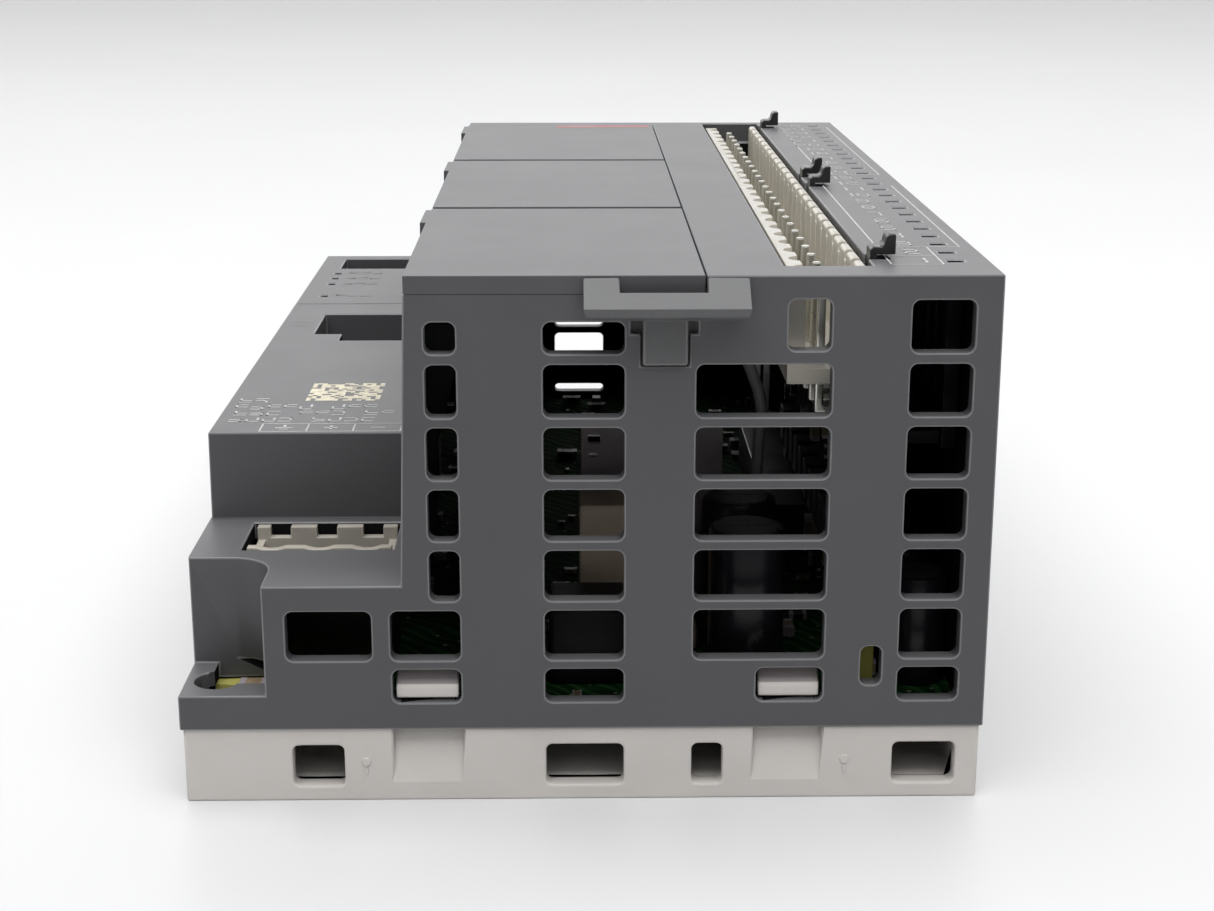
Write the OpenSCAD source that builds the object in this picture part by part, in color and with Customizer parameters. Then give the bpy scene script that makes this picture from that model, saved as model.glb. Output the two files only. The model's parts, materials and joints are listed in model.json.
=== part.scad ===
// PLC module: a rail-mounted controller, lying on its rail face with +Z towards its front.
// X runs along the rail, Y along the terminal rows. All sizes are millimetres.
// Every module is drawn with X from the left wall, Y from the near end face and Z from the
// rail face, and place() then puts the middle of the whole part's footprint at the origin.

/* [Case] */
// Width along the rail
body_w = 82.5; // [82.4:0.1:84]
// Length along the terminal rows
body_l = 135; // [134.8:0.1:137]
// Height of the front face above the rail face
body_h = 55.1; // [55:0.1:57]
// Thickness of the front housing's walls
wall = 2; // [1.8:0.1:2.2]
// Height of the seam between base plate and front housing
seam_z = 8; // [7.9:0.1:8.1]
// Height of the shelf that holds the supply header
shelf_z = 23.5; // [23.4:0.1:24]
// Height of the low stage that holds the network jack
stage_z = 33.4; // [33:0.1:36]
// Where the low stage starts along the length
stage_y = 23; // [22.6:0.1:24]
// Left edge of the high stage at the front face
high_x = 24; // [23.8:0.1:24.2]

/* [Terminals] */
// Distance between neighbouring terminal poles
pitch = 5.08; // [5:0.04:5.08]
// Middle of the first input/output pole
first_pole_y = 7.75; // [7.6:0.05:8]
// Poles of the nearer input/output header
near_poles = 12; // [12:1:12]
// Poles of the farther input/output header
far_poles = 13; // [13:1:13]
// Thickness of a terminal post
post_t = 0.9; // [0.8:0.05:1]

/* [Option bays] */
// Length of one option bay
bay_l = 44; // [43.5:0.1:44]
// Right edge of the option covers
cover_x = 53.4; // [53:0.1:54]
// Thickness of an option cover
cover_t = 1.85; // [1.6:0.05:2]
// Gap round each cover
cover_gap = 0.15; // [0.1:0.05:0.25]

/* [Rail] */
// Width of the rail channel
rail_w = 35.4; // [35.2:0.1:36]
// Depth of the rail channel
rail_depth = 6.6; // [6.4:0.1:6.7]
// Reach of the rail hooks under the rail's lips
hook_reach = 2.3; // [1.5:0.1:2.5]

/* [Cable bracket] */
// How far the cable-tie bracket stands out of the end face
bracket_out = 3.6; // [3:0.1:4.5]
// Width of the bracket's bar
bracket_w = 16; // [15:0.5:18]

/* [Hidden] */

// Colours
case_grey = [0.33, 0.33, 0.34];
base_grey = [0.75, 0.73, 0.70];
cream = [0.86, 0.84, 0.77];
latch_black = [0.08, 0.08, 0.09];
board_green = [0.16, 0.30, 0.12];
tin = [0.75, 0.74, 0.70];
steel = [0.62, 0.63, 0.65];
chip_black = [0.06, 0.06, 0.07];

// Overlap that makes a cut pass cleanly through a face
eps = 0.5;
// Smoothness of round pieces
$fn = 48;

// High stage
high_draft = 1;
side_draft = 0.2;
high_foot_x = high_x - high_draft;

// Vents: rows of equal windows, with a shorter one above and below
vent_first_z = 15.5;
vent_h = 5.3;
vent_step = 6.36;
vent_rows = 5;
vent_low = [10.9, 14.5];
vent_high = [47.35, 50.5];
far_mid_low = [10.9, 12.2];
vent_r = 0.8;
slim_vent = [25.9, 28.95];
mid_vent = [37.46, 45.45];
wide_vent = [52.5, 65.8];
right_vent = [73.45, 79.65];
foot_vent = [21.8, 28.9];
corner_vent = [11.2, 19.9];

// Snap hooks of the base plate, which show in windows of the housing
hook_windows = [[21.9, 28.9], [58.95, 65.8]];
far_hook_windows = [[21.9, 28.9], [50.5, 57.5]];
hook_play = 0.3;

// Boards
board_t = 1.6;
board_z = seam_z + 0.3;
board_top = board_z + board_t;
board_edge = wall + 0.4;
io_board_x = 69.7;
io_board_top = 42.3;

// Screw ear in the near left corner
ear_z = 11.75;
ear_floor = 10.15;
ear_screw = [3.35, 4.5];
ear_hole_r = 2.1;
ear_hole_step = 0.3;
ear_boss_r = 2.95;
ear_corner = [4.7, 5.2];
ear_corner_r = 4.2;

// Input/output headers
io_slot_y = [5.1, 133.6];
io_slot_x = [61.35, 70.2];
io_body_x = [61.9, 69.8];
io_left_wall = 1.75;
io_right_wall = 1.05;
io_floor = [43, 44.6];
io_top = 54.5;
io_post_x = 65.5;
io_post_tip = 54.1;
header_split_y = first_pole_y + pitch * (near_poles - 0.5);
header_start_y = first_pole_y - pitch / 2;
header_end_y = header_split_y + pitch * far_poles;

// Latches
latch_ys = [10.3, 62.6, 71.3, 128.2];
latch_w = 2.6;
latch_pivot = [70.75, 45.6];
latch_pin_r = 0.6;
latch_clearance = 0.05;
latch_lug_t = 1.1;
latch_lug_gap = 0.2;
latch_head_gap = 0.4;

// Supply header
power_x = [5.65, 21.05];
power_y = [12.3, 20.9];
power_poles = 3;
power_first_x = 8.2;
power_post_y = 16.6;
power_post_tip = 22.2;

// Low stage openings
jack_mouth = [[3.6, 16.6], [123.4, 132.4]];
recess_x = [5.5, 22];
recess_y = [70.3, 87.8];
recess_step = [9.3, 74.4];
recess_floor = 24.6;
recess_wall = 1.2;
status_window = [1.1, 1.6];
status_x = 3.7;
status_ys = [101.2, 110.6, 115.2, 119.3];

// Memory card slot and run/stop switch in the recess
card_x = [11, 21];
card_y = [78.4, 80];
switch_travel = 2;
knob_foot_y = [78, 81.6];
knob_stem_y = [78.8, 80.8];
switch_slot = [[6.4, 8.2], [knob_stem_y[0] - 1.8, knob_stem_y[1] + switch_travel + 2.2]];

// Input/output display windows
led_x = [78, 79.7];
led_l = 1.6;

// Option covers
cover_end_y = 131;
cover_seat_z = body_h - cover_t;

// Board screws
screw_r = 1.2;
screw_hole_r = 1.5;
screw_head_r = 2.4;
screw_post_r = 2.25;
screw_tip_z = 5.6;
screw_spots = [[7, 34], [33, 5.8], [7, 96], [33, 128], [76.5, 45], [76.5, 98]];

// Rail channel and its latch
rail_y = body_l / 2;
rail_near = rail_y - rail_w / 2;
rail_far = rail_y + rail_w / 2;
slide_w = 16;
flange_w = 19;
slide_top = 5.2;
lip_top = 2.4;
slide_play = 0.2;
flange_end = body_l - 8;
latch_travel = 4;
spring_y = [100, 114];
spring_r = 1.2;
spring_wire = 0.3;
spring_turns = 8;
spring_z = 3.2;

// Bus connector in the right-hand wall
bus_y = [60, 84];
bus_z = [12, 19.4];
bus_play = 0.2;

// The footprint's middle, counted with the cable bracket
middle_y = (body_l - bracket_out) / 2;

module place() translate([-body_w / 2, -middle_y, 0]) children();

// A block between two opposite corners
module block(low, high) translate(low) cube(high - low);

// A block given by its three ranges
module span(x, y, z) block([x[0], y[0], z[0]], [x[1], y[1], z[1]]);

// An outline in X and Z, stretched from y0 to y1
module along_y(y0, y1) translate([0, y1, 0]) rotate([90, 0, 0]) linear_extrude(y1 - y0) children();

// An outline in Y and Z, stretched from x0 to x1
module along_x(x0, x1) translate([x0, 0, 0]) rotate([90, 0, 90]) linear_extrude(x1 - x0) children();

// A rectangle with round corners, from its two ranges
module soft_rect(a, b, r) {
    translate([a[0] + r, b[0]]) square([a[1] - a[0] - 2 * r, b[1] - b[0]]);
    translate([a[0], b[0] + r]) square([a[1] - a[0], b[1] - b[0] - 2 * r]);
    for (u = [a[0] + r, a[1] - r])
        for (v = [b[0] + r, b[1] - r])
            translate([u, v]) circle(r, $fn = 24);
}

// Middle of the input/output pole counted from 0
function pole_y(i) = first_pole_y + pitch * i;

// Lower and upper edge of the vent row counted from 0
function vent_row(i) = [vent_first_z + vent_step * i, vent_first_z + vent_step * i + vent_h];

// ---- Front housing ----

module housing_outline() {
    along_y(0, body_l)
        polygon([
            [0, seam_z], [body_w, seam_z], [body_w - side_draft, body_h], [high_x, body_h],
            [high_foot_x, shelf_z], [0, shelf_z]
        ]);
    along_y(stage_y, body_l)
        polygon([[0, seam_z], [high_x, seam_z], [high_x, stage_z], [side_draft, stage_z]]);
}

module housing_cavity() {
    along_y(wall, body_l - wall)
        polygon([
            [wall, seam_z - eps], [body_w - wall, seam_z - eps],
            [body_w - side_draft - wall, body_h - wall - 0.3], [high_x + wall, body_h - wall - 0.3],
            [high_foot_x + wall, shelf_z - wall], [wall, shelf_z - wall]
        ]);
    along_y(stage_y + wall, body_l - wall)
        polygon([
            [wall, seam_z], [high_x + wall, seam_z], [high_x + wall, stage_z - wall],
            [side_draft + wall, stage_z - wall]
        ]);
}

// The space above the ear, grown on its two inner sides
module ear_space(grow, z0, z1) {
    block([-eps, -eps, z0], [ear_corner[0] + ear_corner_r + grow, ear_corner[1], z1]);
    block([-eps, -eps, z0], [ear_corner[0], ear_corner[1] + ear_corner_r + grow, z1]);
    translate([ear_corner[0], ear_corner[1], z0]) cylinder(z1 - z0, r = ear_corner_r + grow);
}

module ear_opening() {
    translate([ear_screw[0], ear_screw[1], seam_z]) cylinder(ear_z, r = ear_hole_r + ear_hole_step);
    block([2.6, 3.5, ear_floor - eps], [ear_corner[0] + ear_corner_r, 9.4, ear_z + eps]);
}

module vent(x, z, y0, y1) along_y(y0, y1) soft_rect(x, z, min(vent_r, (z[1] - z[0]) / 2 - 0.05));

// One end face's vents; the low middle window and the hook windows differ between the two ends
module vent_field(y0, y1, mid_low, hooks) {
    for (i = [0 : vent_rows - 1]) {
        vent(mid_vent, vent_row(i), y0, y1);
        vent(wide_vent, vent_row(i), y0, y1);
        vent(right_vent, vent_row(i), y0, y1);
    }
    for (i = [1 : vent_rows - 1])
        vent(slim_vent, vent_row(i), y0, y1);
    vent(foot_vent, vent_row(0), y0, y1);
    vent(corner_vent, [vent_first_z, vent_first_z + vent_h], y0, y1);
    vent(mid_vent, mid_low, y0, y1);
    vent(right_vent, vent_low, y0, y1);
    vent(slim_vent, vent_high, y0, y1);
    vent(mid_vent, vent_high, y0, y1);
    vent(right_vent, [vent_high[0], 52.6], y0, y1);
    for (w = hooks)
        vent(w, vent_low, y0, y1);
}

module recess_shape(grow, z0, z1) {
    block(
        [recess_x[0] - grow, recess_step[1] - grow, z0],
        [recess_x[1] + grow, recess_y[1] + grow, z1]);
    block(
        [recess_step[0] - grow, recess_y[0] - grow, z0],
        [recess_x[1] + grow, recess_y[1] + grow, z1]);
}

module cover_opening() {
    block([high_foot_x - eps, -eps, cover_seat_z], [cover_x, cover_end_y, body_h + eps]);
    for (i = [0 : 2])
        block(
            [high_x + wall, i * bay_l + (i == 0 ? wall : 0.2), cover_seat_z - 5],
            [cover_x - 1, min((i + 1) * bay_l - 2, cover_end_y - 1.5), cover_seat_z + eps]);
}

// Bars that close the gaps between the bays and carry the cover edges
module cover_bars() {
    for (i = [1 : 2])
        block([high_x + 1, i * bay_l - 2, cover_seat_z - 3.2], [cover_x, i * bay_l + 0.2, cover_seat_z]);
    block([cover_x - 1, wall / 2, cover_seat_z - 3.2], [cover_x + 1.2, body_l - 1, body_h - 1]);
}

module bracket_seat() {
    block([47, -eps, 46.1], [51.8, 1, 51.8]);
    for (x = [[46, 47.5], [51.3, 52.6]])
        block([x[0], -eps, 49.3], [x[1], 1, 50.6]);
    for (x = [[42.6, 44.4], [54.2, 56]])
        block([x[0], -eps, 51.5], [x[1], 1.6, 52.9]);
}

module front_housing() color(case_grey) place() {
    difference() {
        union() {
            difference() {
                housing_outline();
                housing_cavity();
            }
            intersection() {
                housing_outline();
                union() {
                    ear_space(wall - 0.5, ear_floor, shelf_z - wall + 0.2);
                    cover_bars();
                    recess_shape(recess_wall, recess_floor - recess_wall, stage_z - 0.1);
                }
            }
        }
        ear_space(0, ear_z, shelf_z + eps);
        ear_opening();
        vent_field(-eps, wall + 0.1, vent_low, hook_windows);
        vent_field(body_l - wall - 0.1, body_l + eps, far_mid_low, far_hook_windows);
        vent([61.4, 65.6], [47.6, 52.7], -eps, wall + 0.1);
        vent([69.6, 71.75], [12.6, 16.8], -eps, wall + 0.1);
        cover_opening();
        recess_shape(0, recess_floor, stage_z + eps);
        span(card_x, [card_y[0] - 0.3, card_y[1] + 0.3], [recess_floor - 2, recess_floor + 1]);
        span(switch_slot[0], switch_slot[1], [recess_floor - 2, recess_floor + 1]);
        span(jack_mouth[0], jack_mouth[1], [stage_z - 3, stage_z + eps]);
        span([5.1, 21.3], [11.9, 21.6], [shelf_z - 3, shelf_z + eps]);
        span(io_slot_x, io_slot_y, [body_h - 3, body_h + eps]);
        for (y = latch_ys)
            block([70, y - latch_w / 2 - 0.3, body_h - 3], [72.6, y + latch_w / 2 + 0.3, body_h + eps]);
        for (i = [0 : near_poles + far_poles - 1])
            block(
                [led_x[0], pole_y(i) - led_l / 2, body_h - 3],
                [led_x[1], pole_y(i) + led_l / 2, body_h + eps]);
        for (y = status_ys)
            block(
                [status_x - status_window[0] / 2, y - status_window[1] / 2, stage_z - 3],
                [status_x + status_window[0] / 2, y + status_window[1] / 2, stage_z + eps]);
        bracket_seat();
        span([body_w - 3, body_w + 1], bus_y, bus_z);
    }
}

// ---- Base plate ----

base_inset = 0.3;
base_floor = 1.5;
rib_t = 1.2;
rib_xs = [9.4, 20, 32.6, 46.8, 57.2, 69.6];
near_rib_ys = [13, 25.5, 37.5];
far_rib_ys = [97, 109, 121.5];
near_tray = [base_inset + 2, rail_near - 2];
far_tray = [rail_far + 2, body_l - base_inset - 2];

module base_window(x, z, y0, y1) along_y(y0, y1) soft_rect(x, z, 0.7);

// Cells between the ribs on one side of the rail
module base_cells(y, rib_ys) {
    difference() {
        span([base_inset + 2, body_w - base_inset - 2], y, [base_floor, seam_z + eps]);
        for (x = rib_xs)
            span([x, x + rib_t], y, [0, seam_z]);
        for (r = rib_ys)
            span([0, body_w], [r, r + rib_t], [0, seam_z]);
    }
}

// One snap hook at the near end face
module snap_hook(x) {
    along_x(x[0] + hook_play, x[1] - hook_play)
        polygon([
            [2.1, 5], [2.1, seam_z], [2.2, 8.6], [2.2, 11.2], [0.6, 11.2], [0.6, 12.4],
            [2.2, 14.2], [3.3, 14.2], [3.3, 5]
        ]);
}

// The ramp in the base's end face below a hook
module hook_ramp(x)
    along_x(x[0] - 0.1, x[1] + 0.15)
        polygon([[-eps, 2], [base_inset, 2], [1.9, seam_z + eps], [-eps, seam_z + eps]]);

module at_far_end() translate([0, body_l, 0]) mirror([0, 1, 0]) children();

module rail_channel() {
    span([-eps, body_w + eps], [rail_near, rail_far], [-eps, rail_depth]);
}

// The fixed hooks under the rail's near lip
module rail_hooks() {
    for (x = [8, 60])
        along_x(x, x + 14)
            polygon([
                [rail_near - eps, 2.2], [rail_near + hook_reach - 0.8, 2.2],
                [rail_near + hook_reach, 3], [rail_near + hook_reach, 5], [rail_near - eps, 5.2]
            ]);
}

slide_x = [body_w / 2 - slide_w / 2, body_w / 2 + slide_w / 2];
flange_x = [body_w / 2 - flange_w / 2, body_w / 2 + flange_w / 2];

module slide_pocket() {
    span(slide_x, [rail_far - eps, body_l + eps], [-eps, slide_top]);
    span(flange_x, [rail_far - eps, flange_end], [lip_top, slide_top]);
}

// The lug that the spring pushes against
module spring_lug()
    span([body_w / 2 - 1.6, body_w / 2 + 1.6], [spring_y[1], spring_y[1] + 1.5], [1.4, slide_top + 0.2]);

module base_plate() color(base_grey) place() {
    difference() {
        union() {
            difference() {
                span([base_inset, body_w - base_inset], [base_inset, body_l - base_inset], [0, seam_z]);
                base_cells(near_tray, near_rib_ys);
                base_cells(far_tray, far_rib_ys);
            }
            translate([ear_screw[0], ear_screw[1], 0]) cylinder(seam_z, r = ear_boss_r);
            span([slide_x[0] - 3.5, slide_x[1] + 3.5], far_tray, [0, slide_top + 1.4]);
            for (s = screw_spots)
                translate([s[0], s[1], base_floor - eps])
                    cylinder(board_z - base_floor + eps, r = screw_post_r);
            for (w = hook_windows)
                snap_hook(w);
            for (w = far_hook_windows)
                at_far_end() snap_hook(w);
        }
        rail_channel();
        slide_pocket();
        translate([ear_screw[0], ear_screw[1], -eps]) cylinder(seam_z + 1, r = ear_hole_r);
        for (s = screw_spots)
            translate([s[0], s[1], screw_tip_z - 0.1]) cylinder(seam_z, r = screw_r + 0.02);
        for (w = hook_windows)
            hook_ramp(w);
        for (w = far_hook_windows)
            at_far_end() hook_ramp(w);
        for (x = [[11.4, 16.7], [37.5, 45.5], [52.5, 55.7], [73.3, 79.8]])
            base_window(x, [1.6, 6.1], -eps, base_inset + 2 + eps);
        for (x = [[11.4, 16.7], [73.3, 79.8]])
            base_window(x, [1.6, 6.1], body_l - base_inset - 2 - eps, body_l + eps);
    }
    rail_hooks();
    spring_lug();
}

// ---- Rail latch and its spring ----

module din_latch() color(case_grey) place() difference() {
    union() {
        span(
            [slide_x[0] + slide_play, slide_x[1] - slide_play],
            [rail_far + 0.3, body_l - base_inset - 0.2], [0.4, slide_top - slide_play]);
        span(
            [flange_x[0] + slide_play, flange_x[1] - slide_play],
            [rail_far + 0.3, flange_end - latch_travel - 1], [lip_top + slide_play, slide_top - slide_play]);
        along_x(slide_x[0] + 1, slide_x[1] - 1)
            polygon([
                [rail_far + 1, 0.4], [rail_far - 0.2, 0.4], [rail_far - hook_reach, 2.6],
                [rail_far - hook_reach, 4.9], [rail_far + 1, 4.9]
            ]);
    }
    span([body_w / 2 - 2.2, body_w / 2 + 2.2], [spring_y[0], spring_y[1] + 7], [0.9, slide_top]);
    span([body_w / 2 - 4, body_w / 2 + 4], [body_l - 6, body_l - 3.2], [-eps, 3.6]);
}

function ring_point(i, j, n, sides) =
    let (
        turn = 360 * spring_turns * i / n,
        side = 360 * j / sides,
        r = spring_r + spring_wire * cos(side)
    )
    [
        r * cos(turn),
        spring_y[0] + 0.7 + (spring_y[1] - spring_y[0] - 1.4) * i / n + spring_wire * sin(side),
        r * sin(turn)
    ];

module din_latch_spring() color(steel) place() {
    n = spring_turns * 12;
    sides = 6;
    points = [for (i = [0 : n]) for (j = [0 : sides - 1]) ring_point(i, j, n, sides)];
    sheets = [
        for (i = [0 : n - 1]) for (j = [0 : sides - 1])
            let (
                a = i * sides + j,
                b = i * sides + (j + 1) % sides
            )
            each [[a, b, b + sides], [a, b + sides, a + sides]]
    ];
    first_end = [[for (j = [sides - 1 : -1 : 0]) j]];
    last_end = [[for (j = [0 : sides - 1]) n * sides + j]];
    translate([body_w / 2, 0, spring_z])
        polyhedron(points, concat(sheets, first_end, last_end));
}

// ---- Option covers ----

module option_cover(i) {
    y0 = i * bay_l + (i == 0 ? 0 : cover_gap);
    y1 = min((i + 1) * bay_l - (i == 2 ? 0 : 1), cover_end_y);
    x0 = high_foot_x + high_draft * (cover_seat_z - shelf_z) / (body_h - shelf_z);
    x1 = cover_x - cover_gap;
    span([high_x, x1], [y0, y1 - cover_gap], [cover_seat_z + 0.05, body_h]);
    span([x0 - 0.7, high_x + 1], [y1 - 9.5, y1 - cover_gap], [cover_seat_z + 0.05, body_h - 0.15]);
    for (x = [[high_x + wall + 0.3, high_x + wall + 1.3], [x1 - 2.3, x1 - 1.3]])
        for (y = [y0 + 7, y1 - 13])
            span(x, [y, y + 6], [cover_seat_z - 4, cover_seat_z + 0.1]);
}

module option_cover_1() color(case_grey) place() option_cover(0);

module option_cover_2() color(case_grey) place() option_cover(1);

module option_cover_3() color(case_grey) place() option_cover(2);

// ---- Cable-tie bracket ----

bracket_mid = body_w / 2 + 8.2;
bracket_x = [bracket_mid - bracket_w / 2, bracket_mid + bracket_w / 2];
stem_x = [47.2, 51.6];

module cable_bracket() color([0.42, 0.42, 0.43]) place() difference() {
    union() {
        along_x(bracket_x[0], bracket_x[1])
            polygon([
                [-0.1, body_h - 0.1], [-bracket_out, body_h - 2.6], [-bracket_out, body_h - 3.4],
                [-bracket_out + 0.5, body_h - 3.8], [-0.1, body_h - 4.2]
            ]);
        block([stem_x[0], -0.7, 46.3], [stem_x[1], 0.8, 51.6]);
        for (x = [[42.75, 44.25], [54.35, 55.85]])
            block([x[0], -0.2, 51.65], [x[1], 1.4, 52.75]);
    }
    difference() {
        block([44.95, -1.7, 50], [53.4, 0.1, body_h + eps]);
        block([stem_x[0], -2, 49], [stem_x[1], 1, 51.6]);
    }
    // Round lower corners of the bar
    for (x = bracket_x)
        difference() {
            block([x - 1.7, -bracket_out - 1, body_h - 4.8], [x + 1.7, 0.1, body_h - 2.7]);
            translate([x + (x < bracket_mid ? 1.7 : -1.7), -bracket_out - 1, body_h - 2.5])
                rotate([-90, 0, 0]) cylinder(bracket_out + 2, r = 1.7);
        }
}

// ---- Terminal headers ----

module io_header(y0, y1, poles, pivots) {
    difference() {
        union() {
            span(io_body_x, [y0, y1], io_floor);
            span([io_body_x[0], io_body_x[0] + io_left_wall], [y0, y1], [io_floor[0], io_top]);
            span([io_body_x[1] - io_right_wall, io_body_x[1]], [y0, y1], [io_floor[0], io_top - 0.7]);
            for (i = poles)
                along_y(pole_y(i) - 1.8, pole_y(i) + 1.8)
                    soft_rect(
                        [io_body_x[1] - io_right_wall, io_body_x[1]], [io_top - 2, io_top + 0.35], 0.45);
            for (y = pivots)
                for (side = [-1, 1])
                    translate([0, y + side * (latch_w / 2 + latch_lug_gap + latch_lug_t / 2), 0])
                        span(
                            [io_body_x[1] - 0.1, latch_pivot[0] + 1],
                            [-latch_lug_t / 2, latch_lug_t / 2], [io_floor[0] + 1.2, 47.2]);
        }
        // Scallops beside each post, and the keying grooves across from them
        for (i = poles) {
            translate([io_body_x[0] + io_left_wall + 0.5, pole_y(i), io_floor[1]])
                cylinder(io_top, r = 1.55);
            span(
                [io_body_x[1] - io_right_wall - 1, io_body_x[1] - io_right_wall + 0.3],
                [pole_y(i) + 2.1, pole_y(i) + 2.6], [io_floor[1] + 1, io_top + 1]);
        }
        io_posts(poles, 0.02);
        for (y = pivots)
            latch_axle(y, latch_pin_r + latch_clearance, 5);
    }
}

// Right-angled posts of the given poles, grown by play on every side
module io_posts(poles, play) {
    t = post_t / 2 + play;
    for (i = poles) {
        block(
            [io_post_x - t, pole_y(i) - t, 39.5 - play],
            [io_post_x + t, pole_y(i) + t, io_post_tip + play]);
        block(
            [io_post_x - t, pole_y(i) - t, 39.5 - play],
            [io_board_x + board_t + 0.8 + play, pole_y(i) + t, 39.5 + 2 * t]);
    }
}

module latch_axle(y, r, l)
    translate([latch_pivot[0], y - l / 2, latch_pivot[1]]) rotate([-90, 0, 0]) cylinder(l, r = r);

near_range = [0 : near_poles - 1];
far_range = [near_poles : near_poles + far_poles - 1];

module io_header_near() color(cream) place()
    io_header(header_start_y, header_split_y - 0.05, near_range, [latch_ys[0], latch_ys[1]]);

module io_header_far() color(cream) place()
    io_header(header_split_y + 0.05, header_end_y, far_range, [latch_ys[2], latch_ys[3]]);

module io_pins() color(tin) place() io_posts([0 : near_poles + far_poles - 1], 0);

module power_header() color(cream) place() difference() {
    union() {
        span(power_x, power_y, [board_top, 13]);
        span(power_x, [power_y[0], power_y[0] + 1.1], [board_top, 23.6]);
        span(power_x, [power_y[1] - 1.1, power_y[1]], [board_top, 23.5]);
        for (x = [power_x[0], power_x[1] - 0.9])
            span([x, x + 0.9], power_y, [board_top, 22]);
    }
    for (i = [0 : power_poles - 1]) {
        x = power_first_x + pitch * i;
        // Notch in the far wall and hollow in the near wall's rim
        block([x - 1.1, power_y[1] - 1.2, 22.3], [x + 1.1, power_y[1] + 1, 24]);
        translate([x, power_y[0] - 1, 27.3]) rotate([-90, 0, 0]) cylinder(3, r = 4);
    }
    power_posts(0.02);
}

module power_posts(play) {
    t = post_t / 2 + play;
    for (i = [0 : power_poles - 1])
        translate([power_first_x + pitch * i, power_post_y, 0])
            block([-t, -t, board_z - 0.5 - play], [t, t, power_post_tip + play]);
}

module power_pins() color(tin) place() power_posts(0);

// ---- Latches of the input/output headers ----

module latch(y) {
    top = body_h + latch_head_gap;
    difference() {
        union() {
            along_y(y - latch_w / 2, y + latch_w / 2) {
                polygon([
                    [70.4, 44.2], [71.1, 44.2], [71.1, top], [73, top], [73, body_h + 2.45],
                    [72.4, body_h + 2.45], [72.05, body_h + 2.2], [71.9, body_h + 1.5],
                    [71.6, body_h + 1.2], [70.75, body_h + 1.2], [70.4, body_h + 0.9]
                ]);
                translate(latch_pivot) circle(0.9);
            }
            latch_axle(y, latch_pin_r, latch_w + 2 * latch_lug_gap + 1.6);
        }
        // Lightening groove in the stem
        block([70.9, y - 0.5, 47.4], [71.2, y + 0.5, 53.5]);
    }
}

module latch_1() color(latch_black) place() latch(latch_ys[0]);

module latch_2() color(latch_black) place() latch(latch_ys[1]);

module latch_3() color(latch_black) place() latch(latch_ys[2]);

module latch_4() color(latch_black) place() latch(latch_ys[3]);

// ---- Boards ----

// The cut in the main board's edge that clears a snap hook
module board_notch(w) block([w[0] - 0.4, 0, board_z - eps], [w[1] + 0.4, 3.9, board_top + eps]);

module main_board() color(board_green) place() difference() {
    span([board_edge, body_w - board_edge], [board_edge, body_l - board_edge], [board_z, board_top]);
    translate([ear_screw[0], ear_screw[1], board_z - eps]) cylinder(3, r = 3.3);
    block([0, 0, board_z - eps], [ear_screw[0] - 0.5, 8, board_top + eps]);
    for (w = hook_windows)
        board_notch(w);
    for (w = far_hook_windows)
        at_far_end() board_notch(w);
    for (s = screw_spots)
        translate([s[0], s[1], board_z - eps]) cylinder(3, r = screw_hole_r);
    power_posts(0.02);
}

module io_board() color(board_green) place() difference() {
    span(
        [io_board_x, io_board_x + board_t],
        [board_edge + 0.2, body_l - board_edge], [board_top, io_board_top]);
    io_posts([0 : near_poles + far_poles - 1], 0.02);
}

module board_link() color(cream) place()
    span([io_board_x - 5, io_board_x], [50, 92], [board_top, 16.5]);

// ---- Network jack, card socket and switch ----

jack_x = [3, 18.6];
jack_y = [121.5, 132.7];
jack_top = 31.2;
jack_hollow = [[4.2, 16], [124, 132.1]];

module network_socket() color(chip_black) place() difference() {
    span(jack_x, jack_y, [board_top, jack_top]);
    span(jack_hollow[0], jack_hollow[1], [17, jack_top + eps]);
    block([7, jack_hollow[1][1] - eps, 17], [13.2, 140, jack_top + eps]);
}

module socket_shield() color(steel) place() difference() {
    span([jack_x[0] - 0.35, jack_x[1] + 0.35], [jack_y[0] - 0.35, jack_y[1] + 0.25], [board_top, jack_top]);
    span([jack_x[0] - 0.02, jack_x[1] + 0.02], [jack_y[0] - 0.02, jack_y[1] + 0.02], [board_top - 1, 33]);
}

module socket_contacts() color([0.8, 0.66, 0.3]) place()
    for (i = [0 : 7])
        translate([6.5 + 1.02 * i, 0, 0])
            along_x(0, 0.4)
                polygon([
                    [124.05, 29], [126.2, 20.6], [126.5, 20.8], [124.35, 29.4], [124.05, 29.4]
                ]);

module card_socket() color(steel) place() difference() {
    span([card_x[0] - 0.8, card_x[1] + 0.8], [77.2, 81.2], [board_top, recess_floor - recess_wall]);
    span([card_x[0], card_x[1]], [card_y[0], card_y[1]], [board_top + 2, recess_floor]);
}

module switch_body() color(chip_black) place() difference() {
    span([5.3, 9.3], [75.6, 86.4], [board_top, recess_floor - recess_wall - 0.1]);
    span([6.1, 8.5], [knob_foot_y[0] - 0.8, knob_foot_y[1] + switch_travel + 1.2], [19, recess_floor]);
}

module switch_knob() color(latch_black) place() {
    span([6.3, 8.3], knob_foot_y, [19.2, 22.4]);
    span([6.7, 7.9], knob_stem_y, [22.4, 28.4]);
    for (i = [0 : 2])
        span([6.5, 8.1], [knob_stem_y[0] + 0.1 + 0.7 * i, knob_stem_y[0] + 0.5 + 0.7 * i], [26.4, 28.2]);
}

// ---- Lights ----

module status_leds() color([0.85, 0.9, 0.7]) place()
    for (y = status_ys)
        span([status_x - 0.8, status_x + 0.8], [y - 0.6, y + 0.6], [board_top, board_top + 0.8]);

module status_light_guide() color([0.8, 0.85, 0.85, 0.6]) place() {
    for (y = status_ys)
        span(
            [status_x - 0.5, status_x + 0.5], [y - 0.75, y + 0.75], [board_top + 1, stage_z - 0.1]);
    span([status_x - 0.5, status_x + 0.5], [status_ys[0], status_ys[3]], [24, 26]);
}

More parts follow.
